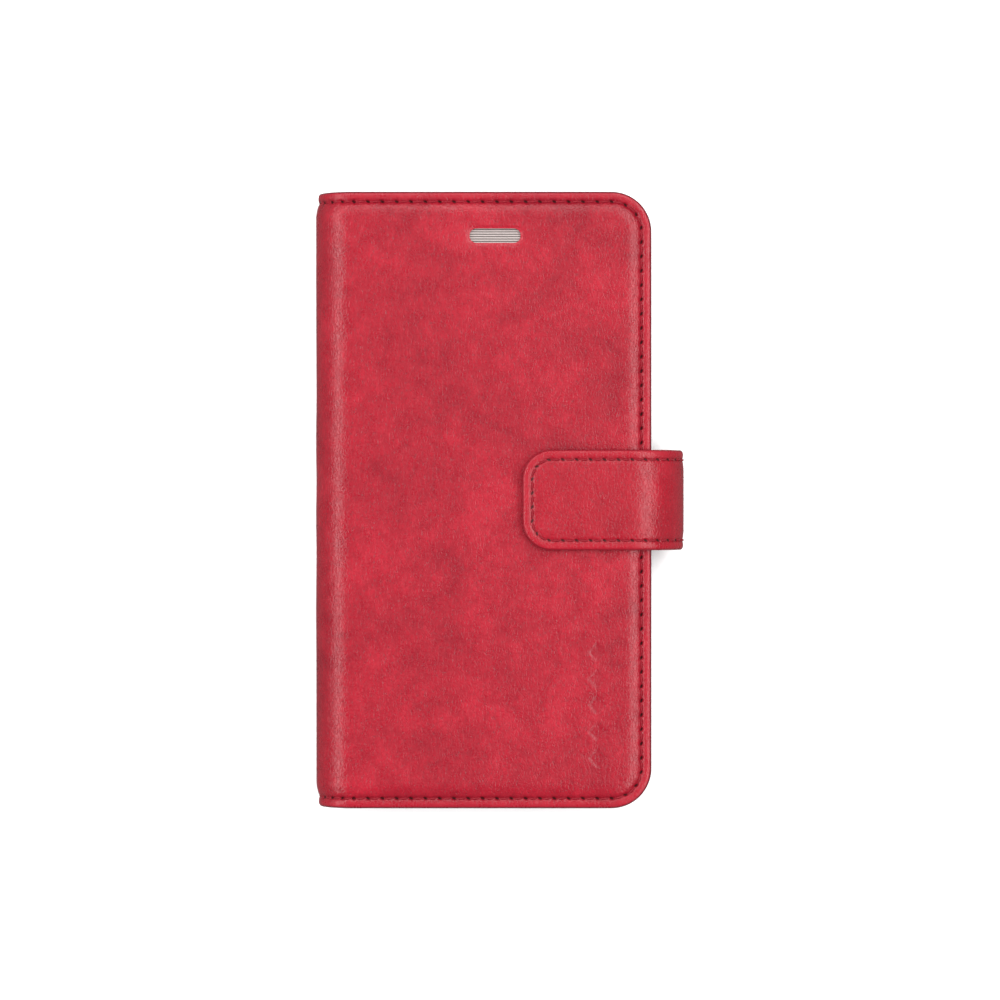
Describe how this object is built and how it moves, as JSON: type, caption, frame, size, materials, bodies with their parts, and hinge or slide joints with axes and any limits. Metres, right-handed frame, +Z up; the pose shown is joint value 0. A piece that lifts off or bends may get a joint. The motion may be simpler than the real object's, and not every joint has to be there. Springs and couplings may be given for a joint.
{
  "type": "phone wallet case",
  "caption": "Book-style phone wallet case: padded front cover, rounded spine, moulded phone tray, card and cash pockets, and a magnetic strap round the free edge.",
  "frame": {"origin": "centre of the underside of the closed case, on the surface that it lies on", "axes": "+Z up through the thickness to the front cover's face, +Y along the length to the phone's earpiece end, +X from the spine to the strap"},
  "size_m": [0.0872, 0.145, 0.0212],
  "materials": {
    "cover_leather": "pebbled red leather-look hide, semi-matt",
    "strap_leather": "pebbled red leather-look hide, semi-matt",
    "lining": "smooth red lining, matt",
    "thread": "twisted polyester thread",
    "greyboard": "pressed grey board",
    "foam": "thin closed foam",
    "adhesive": "thin adhesive sheet",
    "shield": "fine ribbed metallised fabric",
    "tray": "moulded flexible plastic, matt",
    "steel": "thin steel sheet",
    "magnet": "nickel plated"
  },
  "bodies": {
    "back_cover": {"back_leather": "cover_leather", "back_board": "greyboard", "back_lining": "lining", "back_stitching": "thread", "shell_adhesive_pad": "adhesive", "phone_tray": "tray", "strap_root": "strap_leather"},
    "spine_1": {"spine_leather_1": "cover_leather", "spine_lining_1": "lining"},
    "spine_2": {"spine_leather_2": "cover_leather", "spine_lining_2": "lining"},
    "spine_3": {"spine_leather_3": "cover_leather", "spine_lining_3": "lining"},
    "front_cover": {"front_leather": "cover_leather", "front_padding": "foam", "front_board": "greyboard", "shield_fabric": "shield", "front_lining": "lining", "cash_pocket": "lining", "card_pocket_1": "lining", "card_pocket_2": "lining", "card_pocket_3": "lining", "closure_plate": "steel", "front_stitching": "thread"},
    "strap_1": {"strap_leather_1": "strap_leather", "strap_lining_1": "lining"},
    "strap_2": {"strap_leather_2": "strap_leather", "strap_lining_2": "lining"},
    "strap_3": {"strap_leather_3": "strap_leather", "strap_lining_3": "lining"},
    "strap_tab": {"strap_tab_leather": "strap_leather", "strap_tab_core": "greyboard", "strap_tab_lining": "lining", "strap_magnets": "magnet", "strap_tab_stitching": "thread"}
  },
  "joints": [
    {"name": "cover_open", "type": "hinge", "parent": "back_cover", "child": "spine_1", "pos_m": [-0.03792, 0, 0.0007], "axis": [0, -1, 0], "range_deg": [0, 45]},
    {"name": "spine_fold_2", "type": "hinge", "parent": "spine_1", "child": "spine_2", "pos_m": [-0.0429, 0, 0.00568], "axis": [0, -1, 0], "range_deg": [0, 45]},
    {"name": "spine_fold_3", "type": "hinge", "parent": "spine_2", "child": "spine_3", "pos_m": [-0.0429, 0, 0.01272], "axis": [0, -1, 0], "range_deg": [0, 45]},
    {"name": "spine_fold_4", "type": "hinge", "parent": "spine_3", "child": "front_cover", "pos_m": [-0.03792, 0, 0.0177], "axis": [0, -1, 0], "range_deg": [0, 45]},
    {"name": "strap_open", "type": "hinge", "parent": "back_cover", "child": "strap_1", "pos_m": [0.03885, 0, 0.00149], "axis": [0, 1, 0], "range_deg": [0, 45]},
    {"name": "strap_fold_2", "type": "hinge", "parent": "strap_1", "child": "strap_2", "pos_m": [0.04301, 0, 0.00565], "axis": [0, 1, 0], "range_deg": [0, 45]},
    {"name": "strap_fold_3", "type": "hinge", "parent": "strap_2", "child": "strap_3", "pos_m": [0.04264, 0, 0.01342], "axis": [0, 1, 0], "range_deg": [0, 45]},
    {"name": "strap_fold_4", "type": "hinge", "parent": "strap_3", "child": "strap_tab", "pos_m": [0.03582, 0, 0.02024], "axis": [0, 1, 0], "range_deg": [0, 45]}
  ],
  "couplings": [
    {"joint": "spine_fold_2", "follows": "cover_open", "ratio": 1},
    {"joint": "spine_fold_3", "follows": "cover_open", "ratio": 1},
    {"joint": "spine_fold_4", "follows": "cover_open", "ratio": 1},
    {"joint": "strap_fold_2", "follows": "strap_open", "ratio": 1},
    {"joint": "strap_fold_3", "follows": "strap_open", "ratio": 1},
    {"joint": "strap_fold_4", "follows": "strap_open", "ratio": 1}
  ]
}
